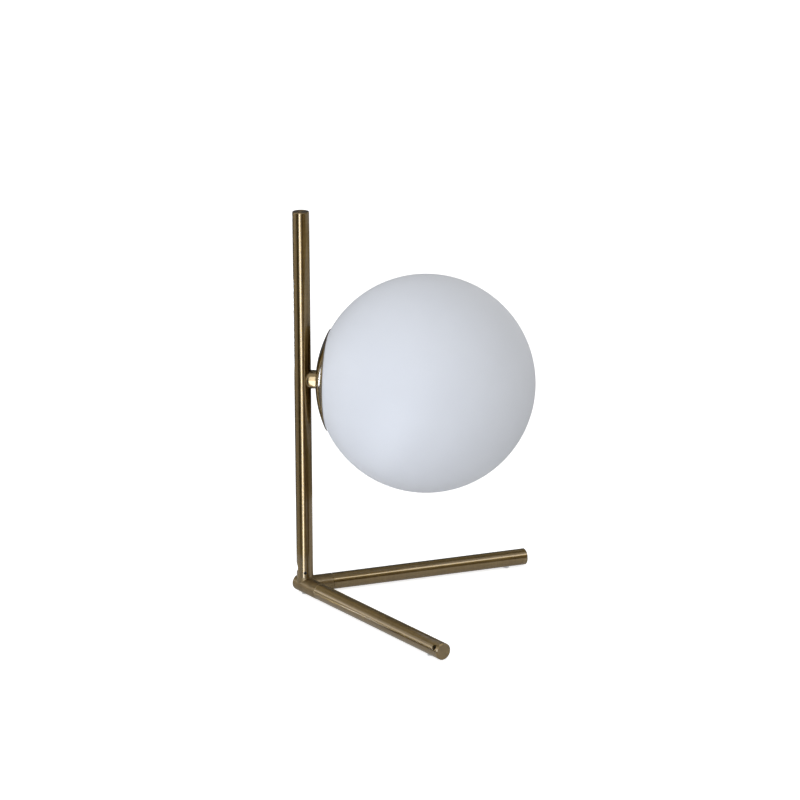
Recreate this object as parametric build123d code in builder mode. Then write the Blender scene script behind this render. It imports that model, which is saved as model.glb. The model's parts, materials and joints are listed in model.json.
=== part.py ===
from build123d import *
from math import cos, radians, sin, sqrt
import os

# Glass globe table lamp. Millimetres, +Z up. The origin is on the table under the stem's
# axis, and +X points along the arm from the stem to the globe.

# ---------------------------------------------------------------- driving dimensions
lamp_height = 372.5            # table to the top of the stem
arm_height = 212.0             # table to the arm's axis and the globe's centre
arm_gap = 5.5                  # bare arm between the stem's surface and the saucer
globe_diameter = 204.0
glass_wall = 2.5
globe_opening_diameter = 72.0
tube_diameter = 15.8           # stem and legs are cut from the same tube
tube_wall = 1.2
leg_reach = 226.5              # stem axis to the leg's end face
leg_spread = 76.0              # angle between the legs, degrees
arm_turn = 9.0                 # the arm stands this far off the middle of the legs, degrees
foot_height = 1.0              # clear rubber below the tubes
foot_diameter = 6.0
foot_inset = 20.0              # foot centre to the leg's end face

# Base joint
stub_reach = 26.7              # stem axis to the seam between stub and leg
closed_end_reach = 10.6        # stem axis to the closed end of the front stub
seat_step = 0.7                # stem's lower end above the crown of the stubs
boss_recess = 0.3              # stem boss is this much slimmer than the tube, per side
spigot_height = 9.0
spigot_relief = 3.0            # height at which the cord's clearance starts in the spigot
spigot_flat = 2.6              # flat beside that clearance, from the stem's axis
socket_depth = 13.0
seam_chamfer = 0.3

# Leg fixings and end caps
stud_diameter = 8.0
stud_engagement = 12.0
stud_chamfer = 0.8
insert_length = 18.0
cap_thickness = 2.0
cap_spigot_length = 10.0
leg_cap_chamfer = 0.8
stem_cap_chamfer = 0.4
screw_diameter = 5.0
screw_length = 4.5
screw_recess = 2.2             # screw's end below the tube's surface
screw_socket_flats = 2.5
screw_socket_depth = 2.0
screw_inset = 5.3              # screw axis to the tube's end
leg_screw_rise = 32.0          # screw axis above the horizontal, on the legs' outer sides, degrees
foot_screw_angle = -78.0       # from +X about the stem, degrees
foot_screw_diameter = 3.0
foot_screw_flats = 1.5
foot_screw_recess = 0.5

# Cord inlet
cord_hole_diameter = 10.5
cord_hole_rise = 9.4           # hole's centre above the stem's lower end

# Arm
sleeve_diameter = 17.6
sleeve_wrap = 2.2              # sleeve's lips end this far from the stem's axis
sleeve_chamfer = 0.3
nipple_diameter = 10.0
nipple_bore = 7.0
anchor_height = 24.0
anchor_passage_diameter = 6.0
anchor_pocket = 6.6            # depth of the wire hole behind the pipe
nipple_start = 2.0             # pipe's inner end from the stem's axis

# Saucer and gallery
saucer_wall = 1.0
saucer_gap = 0.4               # between saucer and globe
saucer_half_angle = 27.6       # seen from the globe's centre, degrees
saucer_land_radius = 9.5       # flat middle that the sleeve and the gallery seat on
gallery_diameter = 64.0
gallery_wall = 1.2
gallery_depth = 16.5           # from the saucer's inner face to the gallery's mouth
gallery_rise = 5.4             # height of the cone between land and threaded wall
washer_inset = 0.5             # washer's edge inside the gallery's flat middle
washer_thickness = 1.2
nut_flats = 14.0
nut_height = 5.0

# Globe collar
collar_wall = 3.0
collar_lip = 2.4               # flange beyond the globe's opening, inside the glass
collar_lip_thickness = 1.4
collar_start = 7.2             # from the saucer's inner face
collar_length = 8.6

# Lampholder and bulb
holder_diameter = 27.6
holder_wall = 1.6
holder_neck_diameter = 16.0
holder_neck_length = 5.0
holder_cap_length = 15.0
holder_body_length = 26.0
holder_body_overlap = 4.0
holder_start = 0.8             # holder's neck clear of the nut
block_thickness = 3.6
shell_diameter = 15.4
shell_wall = 0.5
shell_length = 17.0
contact_diameter = 4.4
contact_height = 1.6
bulb_cap_diameter = 13.6
bulb_cap_length = 17.0
bulb_tip_diameter = 5.0
bulb_tip_height = 1.4
bulb_diameter = 45.0
bulb_length = 54.0             # bulb cap to the tip of the glass
bulb_glass_wall = 0.8
bulb_neck_diameter = 18.0

# Clearances
press_gap = 0.05               # pressed or screwed pieces, per side
thread_gap = 0.3               # globe collar on the gallery, per side
bulb_gap = 0.2                 # bulb tip to the contact

# ---------------------------------------------------------------- derived sizes
tube_radius = tube_diameter / 2
bore_radius = tube_radius - tube_wall
tube_axis_height = foot_height + tube_radius
front_angle = -(leg_spread / 2 + arm_turn)
back_angle = leg_spread / 2 - arm_turn
stem_seat = tube_axis_height + tube_radius + seat_step
plug_radius = bore_radius - press_gap
stud_radius = stud_diameter / 2
screw_radius = screw_diameter / 2
foot_screw_radius = foot_screw_diameter / 2
nipple_radius = nipple_diameter / 2
cord_hole_height = stem_seat + cord_hole_rise
globe_radius = globe_diameter / 2
glass_inner_radius = globe_radius - glass_wall
opening_radius = globe_opening_diameter / 2
saucer_inner_radius = globe_radius + saucer_gap
saucer_outer_radius = saucer_inner_radius + saucer_wall
sleeve_end = tube_radius + arm_gap
arm_reach = sleeve_end + sqrt(saucer_outer_radius ** 2 - saucer_land_radius ** 2)


def sphere_x(radius, height):
    """Distance from the stem's axis to the near side of a sphere about the globe's centre."""
    return arm_reach - sqrt(radius ** 2 - height ** 2)


saucer_face = sphere_x(saucer_inner_radius, saucer_land_radius)
washer_start = saucer_face + gallery_wall
nut_start = washer_start + washer_thickness
holder_neck_start = nut_start + nut_height + holder_start
holder_shoulder = holder_neck_start + holder_neck_length
holder_cap_end = holder_neck_start + holder_cap_length
body_start = holder_cap_end - holder_body_overlap
body_end = body_start + holder_body_length
block_end = body_start + block_thickness
bulb_tip_x = block_end + contact_height + bulb_gap
bulb_cap_start = bulb_tip_x + bulb_tip_height
bulb_cap_end = bulb_cap_start + bulb_cap_length
bulb_centre_x = bulb_cap_end + bulb_length - bulb_diameter / 2

# ---------------------------------------------------------------- planes and axes
arm_axis = Axis((0, 0, arm_height), (1, 0, 0))
# Profiles that turn about the arm: local x runs along the arm, local y away from its axis.
arm_profile = Plane(origin=(0, 0, arm_height), x_dir=(1, 0, 0), z_dir=(0, -1, 0))
# Sections square to the arm.
arm_section = Plane(origin=(0, 0, arm_height), x_dir=(0, 1, 0), z_dir=(1, 0, 0))


def leg_section(angle, distance=0.0):
    """Plane square to a leg, at a distance from the stem's axis, with local x up."""
    direction = Vector(cos(radians(angle)), sin(radians(angle)), 0)
    origin = Vector(0, 0, tube_axis_height) + direction * distance
    return Plane(origin=origin, x_dir=(0, 0, 1), z_dir=direction)


def leg_screw_plane(angle, outer):
    """Plane through a leg's axis whose normal runs along the cap screw, out of the tube."""
    section = leg_section(angle, leg_reach - screw_inset)
    rise = radians(leg_screw_rise)
    normal = section.x_dir * sin(rise) + section.y_dir * (outer * cos(rise))
    return Plane(origin=section.origin, x_dir=section.z_dir, z_dir=normal)


def stem_screw_plane(angle, height):
    """Plane through the stem's axis whose normal runs along a screw, out of the tube."""
    normal = (cos(radians(angle)), sin(radians(angle)), 0)
    return Plane(origin=(0, 0, height), x_dir=(0, 0, 1), z_dir=normal)


def save(piece, name):
    piece.part.label = name
    export_step(piece.part, f"parts/{name}.step")


os.makedirs("parts", exist_ok=True)


# ---------------------------------------------------------------- repeated small pieces
def tube(section, length, holes):
    """Length of tube along the section's normal, drilled from its axis at (plane, radius) pairs."""
    with BuildPart() as piece:
        with BuildSketch(section):
            Circle(tube_radius)
        extrude(amount=length)
        first_end = piece.faces().sort_by(Axis(section.origin, section.z_dir))[0]
        chamfer(first_end.edges(), seam_chamfer)
        with BuildSketch(section):
            Circle(bore_radius)
        extrude(amount=length, mode=Mode.SUBTRACT)
        for hole_plane, hole_radius in holes:
            with BuildSketch(hole_plane):
                Circle(hole_radius)
            extrude(amount=2 * tube_radius, mode=Mode.SUBTRACT)
    return piece


def end_cap(section, face_chamfer, screw_plane):
    """Plug whose face lies in the section and whose spigot reaches back into the tube."""
    with BuildPart() as cap:
        with BuildSketch(section):
            Circle(tube_radius)
        extrude(amount=-cap_thickness)
        chamfer(cap.faces().sort_by(Axis(section.origin, section.z_dir))[-1].edges(), face_chamfer)
        with BuildSketch(section.offset(-cap_thickness)):
            Circle(plug_radius)
        extrude(amount=-cap_spigot_length)
        with BuildSketch(screw_plane):
            Circle(screw_radius)
        extrude(amount=tube_radius, mode=Mode.SUBTRACT)
    return cap


def grub_screw(screw_plane, radius, flats, recess):
    """Socket set screw whose outer end lies a recess below the tube's surface."""
    face = screw_plane.offset(tube_radius - recess)
    with BuildPart() as screw:
        with BuildSketch(face):
            Circle(radius - press_gap)
        extrude(amount=-screw_length)
        with BuildSketch(face):
            RegularPolygon(flats / 2, 6, major_radius=False)
        extrude(amount=-screw_socket_depth, mode=Mode.SUBTRACT)
    return screw


def foot(distance, *angles):
    """Clear rubber pad under a tube, or under the corner of two, hollowed to the tubes' surface."""
    centre = leg_section(angles[0], distance).origin
    with BuildPart() as pad:
        with BuildSketch(Plane((centre.X, centre.Y, 0))):
            Circle(foot_diameter / 2)
        extrude(amount=tube_axis_height)
        for angle in angles:
            with BuildSketch(leg_section(angle, distance - foot_diameter)):
                Circle(tube_radius)
            extrude(amount=2 * foot_diameter, mode=Mode.SUBTRACT)
    return pad


# ---------------------------------------------------------------- base joint
foot_screw_plane = stem_screw_plane(foot_screw_angle, stem_seat + screw_inset)

with BuildPart() as base_joint:
    with BuildSketch(leg_section(front_angle, -closed_end_reach)):
        Circle(tube_radius)
    extrude(amount=closed_end_reach + stub_reach)
    barrel_ends = base_joint.faces().filter_by(GeomType.PLANE)
    barrel_ends = barrel_ends.sort_by(Axis((0, 0, 0), leg_section(front_angle).z_dir))
    chamfer(barrel_ends[0].edges(), leg_cap_chamfer)
    with BuildSketch(leg_section(back_angle)):
        Circle(tube_radius)
    extrude(amount=stub_reach)
    with BuildSketch(Plane.XY.offset(tube_axis_height)):
        Circle(tube_radius - boss_recess)
    extrude(amount=tube_radius + seat_step)
    with BuildSketch(Plane.XY.offset(stem_seat)):
        Circle(plug_radius)
    extrude(amount=spigot_height)
    # Tapped sockets for the leg studs, and a small chamfer that shows the seam.
    for angle in (front_angle, back_angle):
        mouth = leg_section(angle, stub_reach)
        stub_face = base_joint.faces().sort_by(Axis((0, 0, 0), mouth.z_dir))[-1]
        chamfer(stub_face.edges(), seam_chamfer)
        with BuildSketch(mouth):
            Circle(stud_radius + press_gap)
        extrude(amount=-socket_depth, mode=Mode.SUBTRACT)
    # Room for the cord behind its hole in the stem.
    with BuildSketch(Plane((-tube_radius, 0, stem_seat + spigot_relief))):
        Rectangle(2 * (tube_radius - spigot_flat), tube_diameter)
    extrude(amount=spigot_height, mode=Mode.SUBTRACT)
    with BuildSketch(foot_screw_plane):
        Circle(foot_screw_radius)
    extrude(amount=tube_radius, mode=Mode.SUBTRACT)
save(base_joint, "base_joint")

save(foot(0, front_angle, back_angle), "base_foot")

# ---------------------------------------------------------------- legs
for side, angle, outer in (("front", front_angle, 1), ("back", back_angle, -1)):
    screw_plane = leg_screw_plane(angle, outer)
    end_face = leg_section(angle, leg_reach)

    leg_length = leg_reach - cap_thickness - stub_reach
    leg = tube(leg_section(angle, stub_reach), leg_length, [(screw_plane, screw_radius)])
    save(leg, f"{side}_leg")

    with BuildPart() as leg_insert:
        with BuildSketch(leg_section(angle, stub_reach)):
            Circle(plug_radius)
            Circle(stud_radius + press_gap, mode=Mode.SUBTRACT)
        extrude(amount=insert_length)
    save(leg_insert, f"{side}_leg_insert")

    with BuildPart() as leg_stud:
        with BuildSketch(leg_section(angle, stub_reach - stud_engagement)):
            Circle(stud_radius)
        extrude(amount=2 * stud_engagement)
        chamfer(leg_stud.edges().filter_by(GeomType.CIRCLE), stud_chamfer)
    save(leg_stud, f"{side}_leg_stud")

    save(end_cap(end_face, leg_cap_chamfer, screw_plane), f"{side}_leg_cap")
    cap_screw = grub_screw(screw_plane, screw_radius, screw_socket_flats, screw_recess)
    save(cap_screw, f"{side}_cap_screw")
    save(foot(leg_reach - foot_inset, angle), f"{side}_foot")

# ---------------------------------------------------------------- stem
top_face = Plane.XY.offset(lamp_height)
top_screw_plane = stem_screw_plane(180, lamp_height - screw_inset)

stem_holes = [
    (foot_screw_plane, foot_screw_radius),
    (top_screw_plane, screw_radius),
    (stem_screw_plane(180, cord_hole_height), cord_hole_diameter / 2),
    (arm_section, nipple_radius + press_gap),
]
stem = tube(Plane.XY.offset(stem_seat), lamp_height - cap_thickness - stem_seat, stem_holes)
save(stem, "stem")

save(end_cap(top_face, stem_cap_chamfer, top_screw_plane), "stem_cap")
stem_cap_screw = grub_screw(top_screw_plane, screw_radius, screw_socket_flats, screw_recess)
save(stem_cap_screw, "stem_cap_screw")
stem_foot_screw = grub_screw(foot_screw_plane, foot_screw_radius, foot_screw_flats, foot_screw_recess)
save(stem_foot_screw, "stem_foot_screw")

with BuildPart() as arm_anchor:
    with BuildSketch(Plane.XY.offset(arm_height - anchor_height / 2)):
        Circle(plug_radius)
    extrude(amount=anchor_height)
    # Tapped hole for the pipe, a plain wire hole behind it and the passage from below.
    with BuildSketch(arm_section.offset(nipple_start)):
        Circle(nipple_radius + press_gap)
    extrude(amount=tube_radius, mode=Mode.SUBTRACT)
    with BuildSketch(arm_section.offset(nipple_start - anchor_pocket)):
        Circle(nipple_bore / 2)
    extrude(amount=anchor_pocket, mode=Mode.SUBTRACT)
    with BuildSketch(Plane((nipple_start - anchor_pocket / 2, 0, arm_height))):
        Circle(anchor_passage_diameter / 2)
    extrude(amount=-anchor_height, mode=Mode.SUBTRACT)
save(arm_anchor, "arm_anchor")

# ---------------------------------------------------------------- arm
with BuildPart() as arm_sleeve:
    with BuildSketch(arm_section.offset(sleeve_wrap)):
        Circle(sleeve_diameter / 2)
    extrude(amount=sleeve_end - sleeve_wrap)
    chamfer(arm_sleeve.faces().sort_by(Axis.X)[-1].edges(), sleeve_chamfer)
    with BuildSketch(arm_section):
        Circle(nipple_radius + press_gap)
    extrude(amount=sleeve_end, mode=Mode.SUBTRACT)
    # The sleeve is coped to the round of the stem.
    with BuildSketch(Plane.XY.offset(arm_height - sleeve_diameter)):
        Circle(tube_radius + press_gap)
    extrude(amount=2 * sleeve_diameter, mode=Mode.SUBTRACT)
save(arm_sleeve, "arm_sleeve")

with BuildPart() as arm_nipple:
    with BuildSketch(arm_section.offset(nipple_start)):
        Circle(nipple_radius)
        Circle(nipple_bore / 2, mode=Mode.SUBTRACT)
    extrude(amount=holder_shoulder - nipple_start)
save(arm_nipple, "arm_nipple")

# ---------------------------------------------------------------- saucer and its fixings
saucer_rim = radians(saucer_half_angle)
saucer_mid_angle = saucer_rim / 2
saucer_mid_radius = saucer_inner_radius + saucer_wall / 2


def on_sphere(radius, angle):
    """Point of the arm profile on a sphere about the globe's centre, angle from the pole."""
    return (arm_reach - radius * cos(angle), radius * sin(angle))


with BuildPart() as saucer:
    with BuildSketch(arm_profile):
        with BuildLine():
            Polyline(
                (saucer_face, saucer_land_radius),
                (saucer_face, nipple_radius + press_gap),
                (sleeve_end, nipple_radius + press_gap),
                (sleeve_end, saucer_land_radius),
            )
            ThreePointArc(
                (sleeve_end, saucer_land_radius),
                on_sphere(saucer_outer_radius, saucer_mid_angle),
                on_sphere(saucer_outer_radius, saucer_rim),
            )
            ThreePointArc(
                on_sphere(saucer_outer_radius, saucer_rim),
                on_sphere(saucer_mid_radius, saucer_rim + saucer_wall / 2 / saucer_mid_radius),
                on_sphere(saucer_inner_radius, saucer_rim),
            )
            ThreePointArc(
                on_sphere(saucer_inner_radius, saucer_rim),
                on_sphere(saucer_inner_radius, saucer_mid_angle),
                (saucer_face, saucer_land_radius),
            )
        make_face()
    revolve(axis=arm_axis)
save(saucer, "saucer")

gallery_radius = gallery_diameter / 2
gallery_mouth = saucer_face + gallery_depth
gallery_knee = saucer_face + gallery_rise

with BuildPart() as gallery:
    with BuildSketch(arm_profile):
        with BuildLine():
            Polyline(
                (saucer_face, nipple_radius + press_gap),
                (saucer_face, saucer_land_radius),
                (gallery_knee, gallery_radius),
                (gallery_mouth, gallery_radius),
                (gallery_mouth, gallery_radius - gallery_wall),
                (gallery_knee + gallery_wall, gallery_radius - gallery_wall),
                (saucer_face + gallery_wall, saucer_land_radius),
                (saucer_face + gallery_wall, nipple_radius + press_gap),
                close=True,
            )
        make_face()
    revolve(axis=arm_axis)
save(gallery, "gallery")

with BuildPart() as saucer_washer:
    with BuildSketch(arm_section.offset(washer_start)):
        Circle(saucer_land_radius - washer_inset)
        Circle(nipple_radius + press_gap, mode=Mode.SUBTRACT)
    extrude(amount=washer_thickness)
save(saucer_washer, "saucer_washer")

with BuildPart() as saucer_nut:
    with BuildSketch(arm_section.offset(nut_start)):
        RegularPolygon(nut_flats / 2, 6, major_radius=False)
        Circle(nipple_radius + press_gap, mode=Mode.SUBTRACT)
    extrude(amount=nut_height)
save(saucer_nut, "saucer_nut")

# ---------------------------------------------------------------- globe
with BuildPart() as globe:
    with BuildSketch(arm_profile):
        with BuildLine():
            ThreePointArc(
                (sphere_x(globe_radius, opening_radius), opening_radius),
                (arm_reach, globe_radius),
                (arm_reach + globe_radius, 0),
            )
            Line((arm_reach + globe_radius, 0), (arm_reach + glass_inner_radius, 0))
            ThreePointArc(
                (arm_reach + glass_inner_radius, 0),
                (arm_reach, glass_inner_radius),
                (sphere_x(glass_inner_radius, opening_radius), opening_radius),
            )
            Line(
                (sphere_x(glass_inner_radius, opening_radius), opening_radius),
                (sphere_x(globe_radius, opening_radius), opening_radius),
            )
        make_face()
    revolve(axis=arm_axis)
save(globe, "globe")

collar_inner_radius = gallery_radius + thread_gap
collar_outer_radius = collar_inner_radius + collar_wall
lip_radius = opening_radius + collar_lip
lip_face = sphere_x(glass_inner_radius, lip_radius) + press_gap
collar_face = saucer_face + collar_start

with BuildPart() as globe_collar:
    with BuildSketch(arm_profile):
        with BuildLine():
            Polyline(
                (collar_face, collar_inner_radius),
                (collar_face, collar_outer_radius),
                (lip_face, collar_outer_radius),
                (lip_face, lip_radius),
                (lip_face + collar_lip_thickness, lip_radius),
                (lip_face + collar_lip_thickness, collar_outer_radius),
                (collar_face + collar_length, collar_outer_radius),
                (collar_face + collar_length, collar_inner_radius),
                close=True,
            )
        make_face()
    revolve(axis=arm_axis)
save(globe_collar, "globe_collar")

# ---------------------------------------------------------------- lampholder
holder_radius = holder_diameter / 2
holder_neck_radius = holder_neck_diameter / 2
holder_inner_radius = holder_radius - holder_wall
shell_radius = shell_diameter / 2

with BuildPart() as lampholder_cap:
    with BuildSketch(arm_profile):
        with BuildLine():
            Polyline(
                (holder_neck_start, nipple_radius + press_gap),
                (holder_neck_start, holder_neck_radius),
                (holder_shoulder, holder_neck_radius),
                (holder_shoulder + holder_wall, holder_radius),
                (holder_cap_end, holder_radius),
                (holder_cap_end, holder_inner_radius),
                (holder_shoulder + 2 * holder_wall, holder_inner_radius),
                (holder_shoulder + holder_wall, nipple_radius + press_gap),
                close=True,
            )
        make_face()
    revolve(axis=arm_axis)
save(lampholder_cap, "lampholder_cap")

with BuildPart() as lampholder_body:
    with BuildSketch(arm_profile):
        with BuildLine():
            Polyline(
                (body_start, shell_radius + press_gap),
                (body_start, holder_inner_radius - press_gap),
                (holder_cap_end, holder_inner_radius - press_gap),
                (holder_cap_end, holder_radius),
                (body_end, holder_radius),
                (body_end, shell_radius + press_gap),
                close=True,
            )
        make_face()
    revolve(axis=arm_axis)
    mouth_edges = lampholder_body.faces().sort_by(Axis.X)[-1].edges()
    fillet(mouth_edges, holder_wall / 2)
save(lampholder_body, "lampholder_body")

with BuildPart() as contact_block:
    with BuildSketch(arm_section.offset(body_start)):
        Circle(shell_radius)
    extrude(amount=block_thickness)
save(contact_block, "contact_block")

with BuildPart() as centre_contact:
    with BuildSketch(arm_section.offset(block_end)):
        Circle(contact_diameter / 2)
    extrude(amount=contact_height)
save(centre_contact, "centre_contact")

with BuildPart() as screw_shell:
    with BuildSketch(arm_section.offset(block_end)):
        Circle(shell_radius)
        Circle(shell_radius - shell_wall, mode=Mode.SUBTRACT)
    extrude(amount=shell_length)
save(screw_shell, "screw_shell")

# ---------------------------------------------------------------- bulb
bulb_cap_radius = bulb_cap_diameter / 2
bulb_radius = bulb_diameter / 2
bulb_neck_radius = bulb_neck_diameter / 2

with BuildPart() as bulb_cap:
    with BuildSketch(arm_profile):
        with BuildLine():
            Polyline(
                (bulb_tip_x, 0),
                (bulb_tip_x, bulb_tip_diameter / 2),
                (bulb_cap_start, bulb_tip_diameter / 2),
                (bulb_cap_start + bulb_tip_height, bulb_cap_radius),
                (bulb_cap_end, bulb_cap_radius),
                (bulb_cap_end, 0),
                close=True,
            )
        make_face()
    revolve(axis=arm_axis)
save(bulb_cap, "bulb_cap")


def bulb_wall_point(radius, neck):
    """Where a sphere of the bulb's glass meets its neck."""
    return (bulb_centre_x - sqrt(radius ** 2 - neck ** 2), neck)


with BuildPart() as bulb_glass:
    outer_neck = bulb_wall_point(bulb_radius, bulb_neck_radius)
    inner_neck = bulb_wall_point(bulb_radius - bulb_glass_wall, bulb_neck_radius - bulb_glass_wall)
    with BuildSketch(arm_profile):
        with BuildLine():
            Polyline(
                inner_neck,
                (bulb_cap_end, bulb_cap_radius - bulb_glass_wall),
                (bulb_cap_end, bulb_cap_radius),
                outer_neck,
            )
            ThreePointArc(outer_neck, (bulb_centre_x, bulb_radius), (bulb_centre_x + bulb_radius, 0))
            Line((bulb_centre_x + bulb_radius, 0), (bulb_centre_x + bulb_radius - bulb_glass_wall, 0))
            ThreePointArc(
                (bulb_centre_x + bulb_radius - bulb_glass_wall, 0),
                (bulb_centre_x, bulb_radius - bulb_glass_wall),
                inner_neck,
            )
        make_face()
    revolve(axis=arm_axis)
save(bulb_glass, "bulb_glass")
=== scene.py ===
"""Glass globe table lamp: materials, fine detail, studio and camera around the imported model."""
import json
import math

import bmesh
import bpy
from mathutils import Matrix, Vector


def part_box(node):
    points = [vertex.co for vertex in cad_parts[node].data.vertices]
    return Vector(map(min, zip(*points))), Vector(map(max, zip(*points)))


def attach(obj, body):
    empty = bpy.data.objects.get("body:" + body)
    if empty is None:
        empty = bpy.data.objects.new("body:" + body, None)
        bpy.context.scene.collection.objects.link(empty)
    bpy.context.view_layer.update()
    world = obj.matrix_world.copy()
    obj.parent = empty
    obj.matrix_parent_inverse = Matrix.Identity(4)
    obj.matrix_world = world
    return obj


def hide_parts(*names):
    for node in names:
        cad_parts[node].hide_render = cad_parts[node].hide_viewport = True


MM = 0.001
IMAGE_SIDE = 800                 # pixels

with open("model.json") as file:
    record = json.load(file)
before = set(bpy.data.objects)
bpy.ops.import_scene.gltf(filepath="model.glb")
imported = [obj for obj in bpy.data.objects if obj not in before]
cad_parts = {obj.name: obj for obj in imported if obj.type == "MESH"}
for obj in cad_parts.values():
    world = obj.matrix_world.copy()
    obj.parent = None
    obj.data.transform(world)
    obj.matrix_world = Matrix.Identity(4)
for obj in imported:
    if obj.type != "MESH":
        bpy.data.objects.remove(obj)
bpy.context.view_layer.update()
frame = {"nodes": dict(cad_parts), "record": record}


# ---------------------------------------------------------------- places read from the frame
def middle_height(node):
    low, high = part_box(node)
    return (low[2] + high[2]) / 2


def half_height(node):
    """The radius of a node that is turned round the arm's axis."""
    low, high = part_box(node)
    return (high[2] - low[2]) / 2


GLOBE_RADIUS = 102.0 * MM        # of the sphere itself, which its mesh keeps just inside
GLOBE_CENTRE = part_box("globe")[1][0] - GLOBE_RADIUS    # along the arm, from the stem's axis
ARM_HEIGHT = middle_height("globe")
LEG_HEIGHT = middle_height("front_leg_cap")
FRONT_LEG_ANGLE = -47.0          # degrees from the arm
BACK_LEG_ANGLE = 29.0

X_AXIS = Vector((1, 0, 0))
Z_AXIS = Vector((0, 0, 1))
STEM_POINT = Vector((0, 0, 0))
ARM_POINT = Vector((0, 0, ARM_HEIGHT))
LEG_POINT = Vector((0, 0, LEG_HEIGHT))


def level_direction(angle):
    return Vector((math.cos(math.radians(angle)), math.sin(math.radians(angle)), 0))


# ---------------------------------------------------------------- camera
# The photograph's viewpoint: a long lens, a little above the globe, turned slightly to the arm.
CAMERA_DISTANCE = 3410.2 * MM    # along the view, from the lens to the lamp's foot
CAMERA_RISE = 16.29              # degrees above the horizontal
CAMERA_TURN = 8.2                # degrees from square to the arm
CAMERA_ROLL = -0.23              # degrees
FOCAL_PIXELS = 3585.2
SENSOR_WIDTH = 36.0              # millimetres, as Blender takes it
FOOT_RIGHT = -90.17 * MM         # lamp's foot from the middle of the view, to the right
FOOT_DOWN = 182.77 * MM          # and down
FOOT_HEIGHT = 1.0 * MM           # that foot point lies this high, at the bottom of the tubes


def make_camera():
    rise = math.radians(CAMERA_RISE)
    level = Matrix((
        (1, 0, 0),
        (0, -math.sin(rise), -math.cos(rise)),
        (0, math.cos(rise), -math.sin(rise)),
    ))
    to_view = Matrix.Rotation(math.radians(CAMERA_ROLL), 3, "Z") @ level
    to_part = Matrix.Rotation(math.radians(CAMERA_TURN), 3, "Z")
    offset = Vector((FOOT_RIGHT, FOOT_DOWN, CAMERA_DISTANCE))
    place = to_part @ -(to_view.transposed() @ offset) + Vector((0, 0, FOOT_HEIGHT))
    right, down, forward = (to_part @ Vector(row) for row in to_view)
    data = bpy.data.cameras.new("camera")
    data.sensor_width = SENSOR_WIDTH
    data.lens = SENSOR_WIDTH * FOCAL_PIXELS / IMAGE_SIDE
    data.clip_start = 0.05
    data.clip_end = 60.0
    camera = bpy.data.objects.new("camera", data)
    turn = Matrix((right, -down, -forward)).transposed()
    camera.matrix_world = Matrix.Translation(place) @ turn.to_4x4()
    bpy.context.collection.objects.link(camera)
    bpy.context.scene.camera = camera


make_camera()
bpy.context.scene.view_settings.view_transform = "Standard"


# ---------------------------------------------------------------- shader nodes
class Shader:
    """Adds nodes to one node tree and joins them."""

    def __init__(self, tree):
        self.tree = tree
        tree.nodes.clear()

    def add(self, kind, inputs=None, **settings):
        made = self.tree.nodes.new("ShaderNode" + kind)
        for name, value in settings.items():
            setattr(made, name, value)
        for name, value in (inputs or {}).items():
            self.put(made.inputs[name], value)
        return made

    def put(self, socket, value):
        if isinstance(value, bpy.types.NodeSocket):
            self.tree.links.new(value, socket)
        else:
            socket.default_value = value

    def math(self, operation, first, second=0.0):
        return self.add("Math", {0: first, 1: second}, operation=operation).outputs[0]

    def weighted(self, *pairs):
        """The sum of values, each times its weight."""
        total = None
        for value, weight in pairs:
            share = self.math("MULTIPLY", value, weight)
            total = share if total is None else self.math("ADD", total, share)
        return total

    def vector(self, operation, first, second=None):
        inputs = {0: first} if second is None else {0: first, 1: second}
        made = self.add("VectorMath", inputs, operation=operation)
        return made.outputs["Value" if operation in ("DOT_PRODUCT", "LENGTH") else "Vector"]

    def scaled(self, vector, scale):
        return self.add("VectorMath", {0: vector, "Scale": scale}, operation="SCALE").outputs[0]

    def noise(self, vector, scale, detail=2.0, roughness=0.5):
        inputs = {"Vector": vector, "Scale": scale, "Detail": detail, "Roughness": roughness}
        return self.add("TexNoise", inputs).outputs["Fac"]

    def spread(self, value, low, high, start=0.25, end=0.75):
        """The value from start to end, spread over low to high."""
        names = ("Value", "From Min", "From Max", "To Min", "To Max")
        return self.add("MapRange", dict(zip(names, (value, start, end, low, high)))).outputs[0]

    def blend(self, share, first, second):
        made = self.add("Mix", {0: share}, data_type="RGBA")
        self.put(made.inputs[6], first)
        self.put(made.inputs[7], second)
        return made.outputs[2]

    def bump(self, height, strength, distance):
        inputs = {"Height": height, "Strength": strength, "Distance": distance}
        return self.add("Bump", inputs).outputs["Normal"]

    def finish(self, surface, kind="OutputMaterial"):
        self.put(self.add(kind).inputs["Surface"], surface)


def rgb(red, green, blue):
    """A screen colour, 0 to 255, as the linear colour that shaders take."""
    shares = (part / 255 for part in (red, green, blue))
    linear = (s / 12.92 if s <= 0.04045 else ((s + 0.055) / 1.055) ** 2.4 for s in shares)
    return (*linear, 1)


def grey(tone):
    return (tone, tone, tone)


WHITE = (1, 1, 1, 1)
COOL = (0.9, 0.97, 1.1)
WARM = (1.08, 1.0, 0.86)
BLACK = grey(0.01)
BROWN = (0.10, 0.05, 0.035)


def new_material(name):
    material = bpy.data.materials.new(name)
    material.use_nodes = True
    return material, Shader(material.node_tree)


def dress(piece, material):
    piece.data.materials.clear()
    piece.data.materials.append(material)


# ---------------------------------------------------------------- finishes
FINE_LINE = 0.22 * MM            # width of a brush line
BROAD_LINE = 1.6 * MM            # and of a band of them
LINE_DRIFT = 18 * MM             # a brush line keeps its tone for about this length
TONE_PATCH = 28 * MM
LINE_BUMP = 0.12
LINE_DEPTH = 0.02 * MM
NOISE_LOW = 0.35                 # a mix of noises seldom leaves these limits
NOISE_HIGH = 0.65
GRAIN_DEPTH = 0.1                # as a share of the grain's width
LACQUER_IOR = 1.6
LACQUER_ROUGH = 0.1


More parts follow.
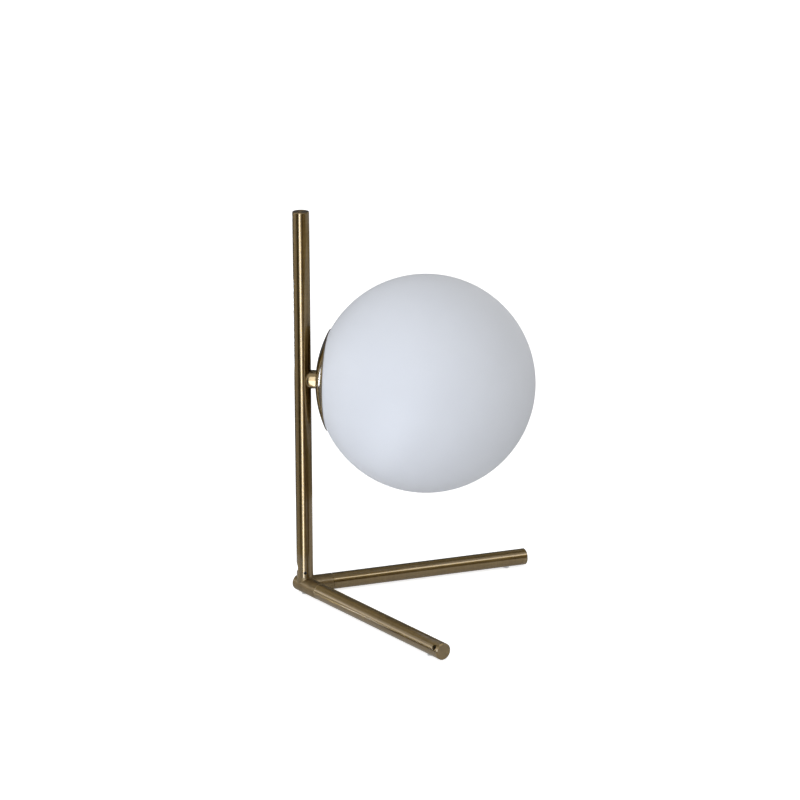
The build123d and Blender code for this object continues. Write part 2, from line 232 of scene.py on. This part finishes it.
def mottled(shader, tone, dark, light):
    """Dark where a mix of noises is low, and light where it is high."""
    return shader.blend(shader.spread(tone, 0.0, 1.0, NOISE_LOW, NOISE_HIGH), dark, light)


def turned_lines(shader, point, axis):
    """The place, the direction across the brush lines, and a coordinate even along each line."""
    place = shader.add("TexCoord").outputs["Object"]
    from_axis = shader.vector("SUBTRACT", place, tuple(point))
    along = shader.vector("DOT_PRODUCT", from_axis, tuple(axis))
    on_axis = shader.scaled(tuple(axis), along)
    radius = shader.vector("LENGTH", shader.vector("SUBTRACT", from_axis, on_axis))
    round_axis = shader.vector("CROSS_PRODUCT", tuple(axis), from_axis)
    normal = shader.add("NewGeometry").outputs["Normal"]
    across = shader.vector("CROSS_PRODUCT", round_axis, normal)
    return place, shader.vector("NORMALIZE", across), shader.math("ADD", along, radius)


def brushed_metal(name, point, axis, light, dark, rough, anisotropic, edge=WHITE, coat=0.0):
    """Metal that was brushed or polished while it turned about an axis."""
    material, shader = new_material(name)
    place, across, line = turned_lines(shader, point, axis)
    drift = shader.scaled(place, 1 / LINE_DRIFT)

    def lines(width, **looks):
        step = shader.add("CombineXYZ", {"X": shader.math("DIVIDE", line, width)}).outputs[0]
        return shader.noise(shader.vector("ADD", drift, step), 1.0, **looks)

    fine = lines(FINE_LINE, detail=3.0, roughness=0.6)
    broad = lines(BROAD_LINE, detail=2.0)
    patch = shader.noise(place, 1 / TONE_PATCH, detail=3.0)
    tone = shader.weighted((fine, 0.3), (broad, 0.3), (patch, 0.4))
    surface = shader.add("BsdfPrincipled", {
        "Base Color": mottled(shader, tone, dark, light),
        "Metallic": 1.0,
        "Roughness": shader.spread(shader.weighted((fine, 0.5), (patch, 0.5)), *rough),
        "Anisotropic": anisotropic,
        "Tangent": across,
        "Specular Tint": edge,
        "Coat Weight": coat,
        "Coat Roughness": LACQUER_ROUGH,
        "Coat IOR": LACQUER_IOR,
        "Normal": shader.bump(fine, LINE_BUMP, LINE_DEPTH),
    })
    shader.finish(surface.outputs[0])
    return material


def grainy(name, light, dark, rough, grain, patch, bump, **constants):
    """A cast, moulded or plated finish: a fine grain and softer patches of tone.

    Any other input of the surface is named with _ for each space.
    """
    material, shader = new_material(name)
    place = shader.add("TexCoord").outputs["Object"]
    fine = shader.noise(place, 1 / grain, detail=3.0, roughness=0.6)
    soft = shader.noise(place, 1 / patch, detail=3.0)
    tone = shader.weighted((fine, 0.4), (soft, 0.6))
    inputs = {
        "Base Color": mottled(shader, tone, dark, light),
        "Roughness": shader.spread(tone, *rough, NOISE_LOW, NOISE_HIGH),
        "Normal": shader.bump(fine, bump, GRAIN_DEPTH * grain),
    }
    for constant, value in constants.items():
        inputs[constant.replace("_", " ")] = value
    shader.finish(shader.add("BsdfPrincipled", inputs).outputs[0])
    return material


OPAL_CLOUD = 60 * MM
OPAL_ETCH = 0.5 * MM
OPAL_DEPTH = 0.02 * MM
OPAL_SCATTER = 4 * MM


def opal(name, light, dark, rough, bump):
    """White glass: a soft body colour under a satin skin."""
    material, shader = new_material(name)
    place = shader.add("TexCoord").outputs["Object"]
    cloud = shader.noise(place, 1 / OPAL_CLOUD)
    etch = shader.noise(place, 1 / OPAL_ETCH)
    surface = shader.add("BsdfPrincipled", {
        "Base Color": shader.blend(shader.spread(cloud, 0.0, 1.0), dark, light),
        "Roughness": shader.spread(etch, *rough),
        "IOR": 1.5,
        "Specular IOR Level": 0.3,
        "Subsurface Weight": 0.25,
        "Subsurface Radius": (1.0, 1.0, 1.05),
        "Subsurface Scale": OPAL_SCATTER,
        "Normal": shader.bump(etch, bump, OPAL_DEPTH),
    })
    shader.finish(surface.outputs[0])
    return material


# ---------------------------------------------------------------- materials
BRASS_LIGHT = rgb(129, 107, 62)
BRASS_DARK = rgb(112, 91, 49)
BRASS_EDGE = (0.62, 0.56, 0.44, 1)


def brass(name, point, axis, rough=(0.28, 0.36), anisotropic=1.0):
    """Brushed antique brass under clear lacquer."""
    return brushed_metal(
        name, point, axis, BRASS_LIGHT, BRASS_DARK, rough, anisotropic, edge=BRASS_EDGE, coat=1.0)


def arm_metal(name, light, dark, rough, anisotropic):
    """Bare metal turned round the arm's axis."""
    return brushed_metal(name, ARM_POINT, X_AXIS, light, dark, rough, anisotropic)


stem_brass = brass("stem_brass", STEM_POINT, Z_AXIS)
front_brass = brass("front_leg_brass", LEG_POINT, level_direction(FRONT_LEG_ANGLE))
back_brass = brass("back_leg_brass", LEG_POINT, level_direction(BACK_LEG_ANGLE))
FINISHES = {
    "stem": stem_brass,
    "stem_cap": stem_brass,
    "front_leg": front_brass,
    "front_leg_cap": front_brass,
    "back_leg": back_brass,
    "back_leg_cap": back_brass,
    "arm_sleeve": brass("arm_brass", ARM_POINT, X_AXIS, rough=(0.17, 0.23), anisotropic=0.3),
    "saucer": brass("saucer_brass", ARM_POINT, X_AXIS, rough=(0.22, 0.3), anisotropic=0.6),
}
SLOT_FINISHES = {
    "hub_brass": grainy(
        "hub_brass", rgb(130, 110, 72), rgb(104, 86, 52), rough=(0.42, 0.55),
        grain=0.35 * MM, patch=9 * MM, bump=0.25, Metallic=1.0, Specular_Tint=BRASS_EDGE,
        Coat_Weight=0.6, Coat_Roughness=0.25, Coat_IOR=LACQUER_IOR),
    "gallery_metal": arm_metal(
        "spun_aluminium", rgb(222, 221, 216), rgb(196, 195, 190), (0.3, 0.42), 0.6),
    "zinc_steel": grainy(
        "zinc_plate", rgb(196, 200, 204), rgb(160, 165, 170), rough=(0.3, 0.45),
        grain=0.5 * MM, patch=4 * MM, bump=0.1, Metallic=1.0),
    "dark_steel": grainy(
        "black_oxide", rgb(44, 42, 40), rgb(26, 25, 25), rough=(0.35, 0.5),
        grain=0.15 * MM, patch=2 * MM, bump=0.2, Metallic=0.8),
    "rubber": grainy(
        "clear_silicone", rgb(236, 237, 236), rgb(222, 223, 222), rough=(0.3, 0.42),
        grain=0.3 * MM, patch=3 * MM, bump=0.1, Transmission_Weight=0.8, IOR=1.41),
    "holder_plastic": grainy(
        "holder_plastic", rgb(58, 58, 60), rgb(44, 44, 46), rough=(0.5, 0.62),
        grain=0.2 * MM, patch=5 * MM, bump=0.25),
    "shell_brass": arm_metal(
        "shell_brass", rgb(224, 200, 140), rgb(192, 166, 106), (0.22, 0.34), 0.5),
    "bulb_metal": arm_metal(
        "bulb_metal", rgb(226, 226, 224), rgb(198, 199, 200), (0.22, 0.34), 0.5),
    "bulb_opal": opal("bulb_opal", rgb(246, 245, 240), rgb(242, 241, 236), (0.25, 0.35), 0.03),
    "opal_glass": opal("opal_glass", rgb(238, 241, 247), rgb(235, 238, 244), (0.5, 0.62), 0.08),
}
SLOT_OF = {subpart["node"]: subpart["material_slot"] for subpart in frame["record"]["subparts"]}


def finish_of(node):
    return FINISHES.get(node) or SLOT_FINISHES[SLOT_OF[node]]


for node_name in SLOT_OF:
    dress(frame["nodes"][node_name], finish_of(node_name))

# ---------------------------------------------------------------- turned pieces
# A profile lists the points of a closed loop: the distance along the arm, the radius, and, where
# the piece has a wave such as a thread, how deep it cuts there.
TURN_STEPS = 120
NUT_STEPS = 180
ROUND_STEPS = 8
THREAD_STEP = 0.35 * MM          # between a profile's points on a thread
THREAD_FADE = 1.5 * MM           # a thread starts and ends over this length
CREASE = math.radians(32)        # sharper edges stay sharp in the shading
PRESS_GAP = 0.05 * MM
SMALL_EDGE = 0.3 * MM


def straight(start, end, radius, depth, step=THREAD_STEP, fade=THREAD_FADE):
    """Points along one radius, where the wave fades in and out at the ends."""
    count = max(1, round(abs(end - start) / step))
    points = []
    for k in range(count + 1):
        along = start + (end - start) * k / count
        edge = min(abs(along - start), abs(along - end))
        points.append((along, radius, depth * min(1.0, edge / fade) if fade else depth))
    return points


def rounded(centre, radius, start, end):
    """Points of an arc in the profile, from one angle to another."""
    points = []
    for k in range(ROUND_STEPS + 1):
        angle = math.radians(start + (end - start) * k / ROUND_STEPS)
        points.append((centre[0] + radius * math.cos(angle), centre[1] + radius * math.sin(angle)))
    return points


def thread(pitch):
    return lambda along, angle: 0.5 - 0.5 * math.cos(2 * math.pi * along / pitch - angle)


def soften(piece):
    piece.data.shade_smooth()
    piece.data.set_sharp_from_angle(angle=CREASE)


def linked(name, shape):
    """A new object with this bmesh, which is freed."""
    mesh = bpy.data.meshes.new(name)
    shape.to_mesh(mesh)
    shape.free()
    made = bpy.data.objects.new(name, mesh)
    bpy.context.collection.objects.link(made)
    return made


def turned(name, node, profile, body="stand", wave=None, steps=TURN_STEPS):
    """A piece turned round the arm's axis, which stands in its node's place."""
    shape = bmesh.new()
    rings = []
    for along, radius, *depth in profile:
        ring = []
        for step in range(steps):
            angle = 2 * math.pi * step / steps
            reach = radius - (depth[0] * wave(along, angle) if depth else 0.0)
            place = (along, reach * math.cos(angle), ARM_HEIGHT + reach * math.sin(angle))
            ring.append(shape.verts.new(place))
        rings.append(ring)
    pairs = list(zip(rings, rings[1:]))
    starts_on_axis = profile[0][1] == 0
    if not starts_on_axis:
        pairs.append((rings[-1], rings[0]))
    for ring, following in pairs:
        for step in range(steps):
            ahead = (step + 1) % steps
            shape.faces.new((ring[step], ring[ahead], following[ahead], following[step]))
    bmesh.ops.remove_doubles(shape, verts=shape.verts, dist=0.001 * MM)
    bmesh.ops.recalc_face_normals(shape, faces=shape.faces)
    made = linked(name, shape)
    soften(made)
    dress(made, finish_of(node))
    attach(made, body)
    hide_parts(node)
    return made


# Saucer: a thin sheet with a rolled rim, whose two faces are spheres about the globe's centre.
NIPPLE_HOLE = half_height("arm_nipple") + PRESS_GAP
SAUCER_LAND = 9.5 * MM
SAUCER_INNER = GLOBE_RADIUS + 0.4 * MM
SAUCER_SHEET = 0.6 * MM
SAUCER_OUTER = SAUCER_INNER + SAUCER_SHEET
SAUCER_RIM = 27.6                # degrees from the arm, seen from the globe's centre
SAUCER_STEPS = 30


def dish(radius, start, end):
    """Points of a sphere about the globe's centre, by their angle from the arm."""
    points = []
    for k in range(SAUCER_STEPS + 1):
        angle = math.radians(start + (end - start) * k / SAUCER_STEPS)
        points.append((GLOBE_CENTRE - radius * math.cos(angle), radius * math.sin(angle)))
    return points


def land_angle(radius):
    return math.degrees(math.asin(SAUCER_LAND / radius))


inner_dish = dish(SAUCER_INNER, land_angle(SAUCER_INNER), SAUCER_RIM)
outer_dish = dish(SAUCER_OUTER, SAUCER_RIM, land_angle(SAUCER_OUTER))
rim_middle = [(inner + outer) / 2 for inner, outer in zip(inner_dish[-1], outer_dish[0])]
rim_round = rounded(rim_middle, SAUCER_SHEET / 2, -SAUCER_RIM, 180 - SAUCER_RIM)[1:-1]
saucer_back = inner_dish[0][0]
saucer_front = outer_dish[-1][0]
turned("saucer_dish", "saucer", [
    (saucer_front, NIPPLE_HOLE),
    (saucer_back, NIPPLE_HOLE),
    *inner_dish,
    *rim_round,
    *outer_dish,
])

# Sleeve: its end is rounded off and coped to the stem.
SLEEVE_START = 3.6 * MM
SLEEVE_ROUND = 3.7 * MM
SLEEVE_EDGE = 0.7 * MM
SLEEVE_RADIUS = half_height("arm_sleeve")
sleeve = turned("arm_sleeve_rounded", "arm_sleeve", [
    (SLEEVE_START, NIPPLE_HOLE),
    *rounded((SLEEVE_START + SLEEVE_ROUND, SLEEVE_RADIUS - SLEEVE_ROUND), SLEEVE_ROUND, 180, 90),
    *rounded((saucer_front - SLEEVE_EDGE, SLEEVE_RADIUS - SLEEVE_EDGE), SLEEVE_EDGE, 90, 0),
    (saucer_front, NIPPLE_HOLE),
])


def cope(piece, radius, height):
    """Cuts a piece to the round of the stem."""
    shape = bmesh.new()
    bmesh.ops.create_cone(
        shape, cap_ends=True, segments=2 * TURN_STEPS, radius1=radius, radius2=radius,
        depth=height, matrix=Matrix.Translation(ARM_POINT))
    cutter = linked("cutter", shape)
    cut = piece.modifiers.new("cope", "BOOLEAN")
    cut.operation = "DIFFERENCE"
    cut.solver = "EXACT"
    cut.object = cutter
    seen = piece.evaluated_get(bpy.context.evaluated_depsgraph_get())
    piece.data = bpy.data.meshes.new_from_object(seen)
    piece.modifiers.clear()
    bpy.data.objects.remove(cutter)
    shape = bmesh.new()
    shape.from_mesh(piece.data)
    bmesh.ops.remove_doubles(shape, verts=shape.verts, dist=0.01 * MM)
    bmesh.ops.dissolve_degenerate(shape, edges=shape.edges, dist=0.001 * MM)
    many_sided = [face for face in shape.faces if len(face.verts) > 4]
    bmesh.ops.triangulate(shape, faces=many_sided)
    shape.to_mesh(piece.data)
    shape.free()
    soften(piece)


stem_low, stem_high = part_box("stem")
cope(sleeve, (stem_high[0] - stem_low[0]) / 2 + PRESS_GAP, 4 * SLEEVE_RADIUS)

# Nut: a hexagon with its corners turned off.
NUT_TURNING = math.radians(30)
NUT_FACE = 0.98                  # radius of its round face, as a share of the flats
NUT_STEP = 0.1 * MM
nut_low, nut_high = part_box("saucer_nut")
nut_wide, nut_tall = (nut_high[k] - nut_low[k] for k in (1, 2))
nut_flat = min(nut_wide, nut_tall) / 2
nut_corner = nut_flat / math.cos(math.pi / 6)
nut_turn = 0.0 if nut_wide > nut_tall else math.pi / 2


def hexagon(along, angle):
    """How far inside the corners' circle the nut's side lies."""
    side = (angle - nut_turn) % (math.pi / 3) - math.pi / 6
    face = min(along - nut_low[0], nut_high[0] - along)
    turning = nut_flat * NUT_FACE + face / math.tan(NUT_TURNING)
    return nut_corner - min(nut_flat / math.cos(side), turning)


turned("saucer_nut_hexagon", "saucer_nut", [
    (nut_low[0], NIPPLE_HOLE),
    *straight(nut_low[0], nut_high[0], nut_corner, 1.0, NUT_STEP, fade=0.0),
    (nut_high[0], NIPPLE_HOLE),
], wave=hexagon, steps=NUT_STEPS)

# Gallery and globe collar: a coarse rolled thread, which the globe is screwed on by.
GALLERY_PITCH = 3.6 * MM
GALLERY_THREAD = 0.7 * MM
GALLERY_WALL = 1.2 * MM
GALLERY_RISE = 5.4 * MM
GALLERY_BEND = 0.6 * MM
gallery_low, gallery_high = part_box("gallery")
gallery_radius = half_height("gallery")
gallery_inner = gallery_radius - GALLERY_WALL
gallery_knee = gallery_low[0] + GALLERY_RISE
gallery_lip = gallery_high[0] - SMALL_EDGE
turned("gallery_threaded", "gallery", [
    (gallery_low[0], NIPPLE_HOLE),
    (gallery_low[0], SAUCER_LAND),
    (gallery_knee - GALLERY_BEND / 2, gallery_radius - GALLERY_BEND),
    *straight(gallery_knee, gallery_lip, gallery_radius, GALLERY_THREAD),
    (gallery_high[0], gallery_radius - SMALL_EDGE),
    (gallery_high[0], gallery_inner),
    *straight(gallery_lip, gallery_knee + GALLERY_WALL, gallery_inner, GALLERY_THREAD),
    (gallery_low[0] + GALLERY_WALL, SAUCER_LAND),
    (gallery_low[0] + GALLERY_WALL, NIPPLE_HOLE),
], wave=thread(GALLERY_PITCH))

COLLAR_GAP = 0.3 * MM
COLLAR_WALL = 3.0 * MM
GLASS_WALL = 2.5 * MM
LIP_THICKNESS = 1.4 * MM
collar_low, collar_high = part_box("globe_collar")
collar_inner = gallery_radius + COLLAR_GAP
collar_outer = collar_inner + COLLAR_WALL
collar_groove = collar_inner + GALLERY_THREAD
lip_radius = half_height("globe_collar")
lip_face = GLOBE_CENTRE - math.sqrt((GLOBE_RADIUS - GLASS_WALL) ** 2 - lip_radius ** 2) + PRESS_GAP
turned("globe_collar_threaded", "globe_collar", [
    (collar_low[0], collar_groove),
    (collar_low[0], collar_outer - SMALL_EDGE),
    (collar_low[0] + SMALL_EDGE, collar_outer),
    (lip_face, collar_outer),
    (lip_face, lip_radius),
    (lip_face + LIP_THICKNESS, lip_radius),
    (lip_face + LIP_THICKNESS, collar_outer),
    (collar_high[0] - SMALL_EDGE, collar_outer),
    (collar_high[0], collar_outer - SMALL_EDGE),
    *straight(collar_high[0], collar_low[0], collar_groove, GALLERY_THREAD),
], body="globe", wave=thread(GALLERY_PITCH))

# Lampholder: grip flutes round its moulded body.
FLUTES = 36
FLUTE_DEPTH = 0.5 * MM
FLUTE_STEP = 0.7 * MM
FLUTE_FADE = 2.0 * MM
FLUTES_AFTER_CAP = 1.5 * MM
FLUTES_BEFORE_MOUTH = 5.0 * MM
HOLDER_WALL = 1.6 * MM
MOUTH_ROUND = HOLDER_WALL / 2
body_low, body_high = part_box("lampholder_body")
cap_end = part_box("lampholder_cap")[1][0]
holder_radius = half_height("lampholder_body")
holder_inner = holder_radius - HOLDER_WALL - PRESS_GAP
shell_radius = half_height("screw_shell")
holder_bore = shell_radius + PRESS_GAP
mouth = body_high[0] - MOUTH_ROUND
flutes_end = body_high[0] - FLUTES_BEFORE_MOUTH


def fluting(along, angle):
    return 0.5 - 0.5 * math.cos(FLUTES * angle)


turned("lampholder_body_fluted", "lampholder_body", [
    (body_low[0], holder_bore),
    (body_low[0], holder_inner),
    (cap_end, holder_inner),
    (cap_end, holder_radius - SMALL_EDGE),
    (cap_end + SMALL_EDGE, holder_radius),
    *straight(
        cap_end + FLUTES_AFTER_CAP, flutes_end, holder_radius, FLUTE_DEPTH, FLUTE_STEP, FLUTE_FADE),
    *rounded((mouth, holder_radius - MOUTH_ROUND), MOUTH_ROUND, 90, 0),
    *rounded((mouth, holder_bore + MOUTH_ROUND), MOUTH_ROUND, 0, -90),
], wave=fluting, steps=8 * FLUTES)

# Screw shell and bulb cap: the rolled thread of a small screw base.
BULB_PITCH = 2.82 * MM
SHELL_THREAD = 0.5 * MM
SHELL_SHEET = 0.25 * MM
shell_low, shell_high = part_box("screw_shell")
turned("screw_shell_rolled", "screw_shell", [
    *straight(shell_low[0], shell_high[0], shell_radius, SHELL_THREAD),
    *straight(shell_high[0], shell_low[0], shell_radius - SHELL_SHEET, SHELL_THREAD),
], wave=thread(BULB_PITCH))

CAP_THREAD = 0.55 * MM
CAP_SKIRT = 3.2 * MM             # plain end of the cap, next to the glass
SKIRT_BEND = 0.6 * MM
TIP_RADIUS = 2.5 * MM
TIP_HEIGHT = 1.4 * MM
TIP_EDGE = 0.5 * MM
tip, skirt_end = (corner[0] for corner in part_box("bulb_cap"))
cap_radius = half_height("bulb_cap")
skirt_start = skirt_end - CAP_SKIRT
turned("bulb_cap_rolled", "bulb_cap", [
    (tip, 0.0),
    (tip, TIP_RADIUS - TIP_EDGE),
    (tip + TIP_EDGE, TIP_RADIUS),
    (tip + TIP_HEIGHT, TIP_RADIUS),
    *straight(tip + 2 * TIP_HEIGHT, skirt_start, cap_radius, CAP_THREAD),
    (skirt_start + SKIRT_BEND, cap_radius - SMALL_EDGE),
    (skirt_end - SKIRT_BEND, cap_radius - SMALL_EDGE),
    (skirt_end, cap_radius),
    (skirt_end, 0.0),
], body="bulb", wave=thread(BULB_PITCH))

# ---------------------------------------------------------------- studio
WORLD_LIGHT = 0.59               # strength that lights the object; 1 is what is seen
FLOOR_SIDE = 14.0
FLOOR_COLOR = (0.85, 0.85, 0.85, 1)
FLOOR_GLOW = 0.75                # lifts the seen floor to white outside the object's shadow
MIRRORED_GLOW = 0.25             # and does the same in reflections, which don't clip


def seen_rays(shader, straight_on=1.0, mirrored=1.0):
    """One value for camera rays, one for glossy and transmission rays, and 0 for the rest."""
    rays = shader.add("LightPath").outputs
    bent = shader.math("ADD", rays["Is Glossy Ray"], rays["Is Transmission Ray"])
    bent = shader.math("MULTIPLY", shader.math("MINIMUM", bent, 1.0), mirrored)
    return shader.math("ADD", shader.math("MULTIPLY", rays["Is Camera Ray"], straight_on), bent)


def make_world():
    world = bpy.data.worlds.new("studio")
    bpy.context.scene.world = world
    world.use_nodes = True
    shader = Shader(world.node_tree)
    strength = shader.spread(seen_rays(shader), WORLD_LIGHT, 1.0, 0.0, 1.0)
    background = shader.add("Background", {"Color": WHITE, "Strength": strength})
    shader.finish(background.outputs[0], "OutputWorld")


def make_floor():
    material, shader = new_material("floor")
    lit = shader.add("BsdfDiffuse", {"Color": FLOOR_COLOR}).outputs[0]
    glow = seen_rays(shader, FLOOR_GLOW, MIRRORED_GLOW)
    glow = shader.add("Emission", {"Color": WHITE, "Strength": glow}).outputs[0]
    both = shader.add("AddShader", {0: lit, 1: glow})
    shader.finish(both.outputs[0])
    half = FLOOR_SIDE / 2
    corners = [(-half, -half, 0), (half, -half, 0), (half, half, 0), (-half, half, 0)]
    mesh = bpy.data.meshes.new("floor")
    mesh.from_pydata(corners, [], [(0, 1, 2, 3)])
    floor = bpy.data.objects.new("floor", mesh)
    bpy.context.collection.objects.link(floor)
    dress(floor, material)


def area_light(
        name, turn, rise, distance, size, radiance, aim=ARM_HEIGHT, color=COOL, seen_by="metal"):
    """A softbox at a turn and rise seen from the lamp, facing the height that it aims at.

    Either metal sees it, in its reflections, or the body colours do.
    """
    direction = level_direction(turn) * math.cos(math.radians(rise))
    direction = direction + Z_AXIS * math.sin(math.radians(rise))
    data = bpy.data.lights.new(name, "AREA")
    data.shape = "RECTANGLE"
    data.size, data.size_y = size
    data.energy = radiance * math.pi * size[0] * size[1]
    data.color = color
    light = bpy.data.objects.new(name, data)
    light.location = Vector((0, 0, aim)) + direction * distance
    light.rotation_mode = "QUATERNION"
    light.rotation_quaternion = (-direction).to_track_quat("-Z", "Y")
    light.visible_camera = False
    light.visible_diffuse = seen_by == "body"
    light.visible_glossy = seen_by == "metal"
    bpy.context.collection.objects.link(light)


# Cards as a studio uses to draw dark or bright lines into metal: each lies on the floor and stands
# up behind, or hangs overhead.
CARD_START = 0.3
NEAR_START = 0.12                # where a card starts that a leg doesn't cross
CARD_BEND = 1.15
CARD_REACH = 1.3
CARD_HEIGHT = 0.75
CARD_LIFT = 1.0 * MM
CARD_STEPS = 12
OVERHEAD = [(0.1, 1.5), (1.45, 1.5)]
NEAR_FLOOR = [(NEAR_START, CARD_LIFT), (CARD_START, CARD_LIFT)]


def card_profile(start=CARD_START, height=CARD_HEIGHT):
    return [(start, CARD_LIFT), (CARD_BEND, CARD_LIFT), (CARD_REACH, height)]


def card(name, start, end, color, profile, glow=0.0):
    """A card from one turn to another. Only reflections see it, so it shades nothing."""
    points = []
    for step in range(CARD_STEPS + 1):
        direction = level_direction(start + (end - start) * step / CARD_STEPS)
        points += [direction * reach + Z_AXIS * rise for reach, rise in profile]
    width = len(profile)
    faces = []
    for step in range(CARD_STEPS):
        for k in range(width - 1):
            corner = step * width + k
            faces.append((corner, corner + 1, corner + width + 1, corner + width))
    mesh = bpy.data.meshes.new(name)
    mesh.from_pydata(points, [], faces)
    made = bpy.data.objects.new(name, mesh)
    bpy.context.collection.objects.link(made)
    material, shader = new_material(name)
    surface = shader.add("BsdfPrincipled", {
        "Base Color": (*color, 1),
        "Roughness": 0.9,
        "Specular IOR Level": 0.0,
        "Emission Color": (*COOL, 1),
        "Emission Strength": glow,
    })
    shader.finish(surface.outputs[0])
    dress(made, material)
    made.visible_camera = False
    made.visible_diffuse = False
    made.visible_shadow = False
    made.visible_transmission = False


make_world()
make_floor()
area_light("strip", turn=-97, rise=12.5, distance=1.9, size=(0.55, 2.4), radiance=3.8)
area_light(
    "key", turn=-110, rise=15, distance=2.2, size=(1.6, 1.6), radiance=1.95, seen_by="body")
area_light(
    "high_right", turn=-35, rise=41, distance=1.7, size=(0.9, 0.4), radiance=3.4,
    aim=0.0, color=grey(1.0))
area_light(
    "low_left", turn=170, rise=11, distance=1.7, size=(1.2, 0.45), radiance=1.5,
    aim=0.0, color=WARM)
area_light("rim_left", turn=130, rise=-10, distance=0.6, size=(0.05, 0.1), radiance=11.0)
card("card_front", -105, -89, grey(0.8), card_profile(0.05, 0.1), glow=8.0)
card("card_right", -73, -17, BROWN, card_profile())
card("card_near_right", -75, -58, BROWN, NEAR_FLOOR)
card("card_near_globe", -38, -17, BROWN, NEAR_FLOOR)
card("card_left", -146, -115, BLACK, card_profile(NEAR_START))
card("card_back", 80, 130, grey(0.15), card_profile(height=1.3))
card("card_far_left", 130, 165, grey(0.35), card_profile(NEAR_START, 1.3))
card("card_behind", -17, 80, grey(0.25), card_profile(height=0.05))
card("card_beside", 165, 213, grey(0.6), card_profile(NEAR_START, 0.1))
card("card_over", 10, 110, grey(0.25), OVERHEAD)
